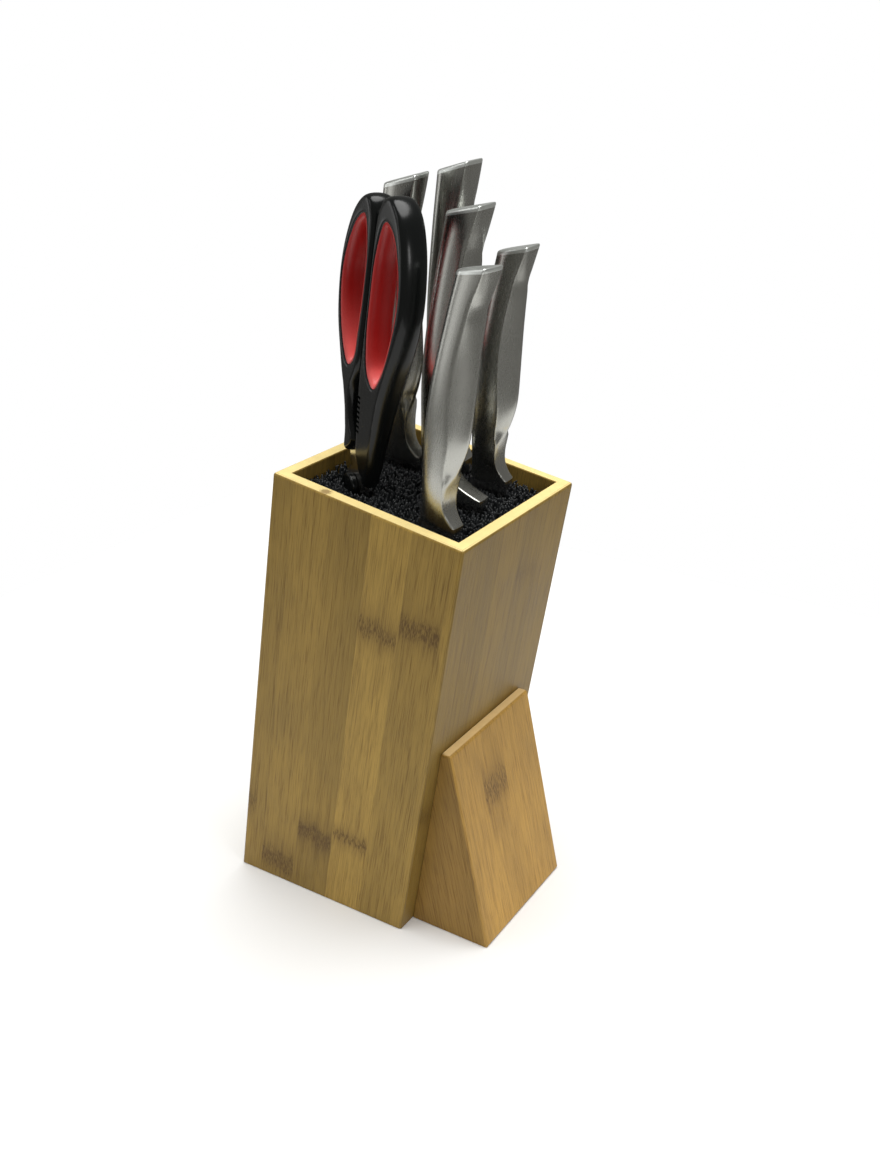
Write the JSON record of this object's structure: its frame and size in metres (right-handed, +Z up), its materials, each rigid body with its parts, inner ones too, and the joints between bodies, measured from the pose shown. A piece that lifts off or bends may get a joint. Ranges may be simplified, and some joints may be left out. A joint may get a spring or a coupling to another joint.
{
  "type": "knife block with knives",
  "caption": "Square bamboo knife block leaning on a wedge foot, with a lift-out bristle insert that holds steel knives and soft-lined kitchen shears.",
  "frame": {"origin": "on the table, under the middle of the block's base", "axes": "+Z up; +X the way the block leans, towards the wedge foot, and the way the cutting edges face; +Y to the back"},
  "size_m": [0.1514, 0.105, 0.3711],
  "materials": {
    "bamboo": "satin, oiled, vertical grain with node marks",
    "tray": "matt",
    "bristle": "bundled plastic filaments, slightly shiny tips",
    "satin_steel": "satin",
    "bright_steel": "polished",
    "blade_steel": "ground lengthwise",
    "gloss_black": "gloss",
    "soft_red": "soft satin"
  },
  "bodies": {
    "block": {"front_board": "bamboo", "right_board": "bamboo", "back_board": "bamboo", "left_board": "bamboo", "base_board": "bamboo", "wedge_foot": "bamboo"},
    "insert": {"insert_tray": "tray", "bristles": "bristle"},
    "bread_knife": {"bread_knife_blade": "blade_steel", "bread_knife_handle": "satin_steel", "bread_knife_end_cap": "bright_steel"},
    "carving_knife": {"carving_knife_blade": "blade_steel", "carving_knife_handle": "satin_steel", "carving_knife_end_cap": "bright_steel"},
    "chef_knife": {"chef_knife_blade": "blade_steel", "chef_knife_handle": "satin_steel", "chef_knife_end_cap": "bright_steel"},
    "utility_knife": {"utility_knife_blade": "blade_steel", "utility_knife_handle": "satin_steel", "utility_knife_end_cap": "bright_steel"},
    "paring_knife": {"paring_knife_blade": "blade_steel", "paring_knife_handle": "satin_steel", "paring_knife_end_cap": "bright_steel"},
    "shears_front_half": {"shears_front_blade": "blade_steel", "shears_large_handle": "gloss_black", "shears_large_grip": "soft_red", "pivot_screw": "gloss_black", "pivot_nut": "satin_steel"},
    "shears_back_half": {"shears_back_blade": "blade_steel", "shears_small_handle": "gloss_black", "shears_small_grip": "soft_red"}
  },
  "joints": [
    {"name": "insert_lift", "type": "slide", "parent": "block", "child": "insert", "axis": [0.1616, 0, 0.9869], "range_m": [0, 0.235]},
    {"name": "bread_knife_draw", "type": "slide", "parent": "insert", "child": "bread_knife", "axis": [0.0436, -0.0262, 0.9987], "range_m": [0, 0.195]},
    {"name": "carving_knife_draw", "type": "slide", "parent": "insert", "child": "carving_knife", "axis": [0.0192, -0.0175, 0.9997], "range_m": [0, 0.193]},
    {"name": "chef_knife_draw", "type": "slide", "parent": "insert", "child": "chef_knife", "axis": [0.0993, 0, 0.9951], "range_m": [0, 0.19]},
    {"name": "utility_knife_draw", "type": "slide", "parent": "insert", "child": "utility_knife", "axis": [0.1028, 0.0087, 0.9947], "range_m": [0, 0.13]},
    {"name": "paring_knife_draw", "type": "slide", "parent": "insert", "child": "paring_knife", "axis": [0.1616, 0, 0.9869], "range_m": [0, 0.1]},
    {"name": "shears_draw", "type": "slide", "parent": "insert", "child": "shears_front_half", "axis": [0.1616, 0, 0.9869], "range_m": [0, 0.105]},
    {"name": "shears_pivot", "type": "hinge", "parent": "shears_front_half", "child": "shears_back_half", "pos_m": [0.00955, -0.01948, 0.22532], "axis": [-0.4784, -0.8746, 0.0783], "range_deg": [0, 25], "deforming": ["bristles"]}
  ]
}
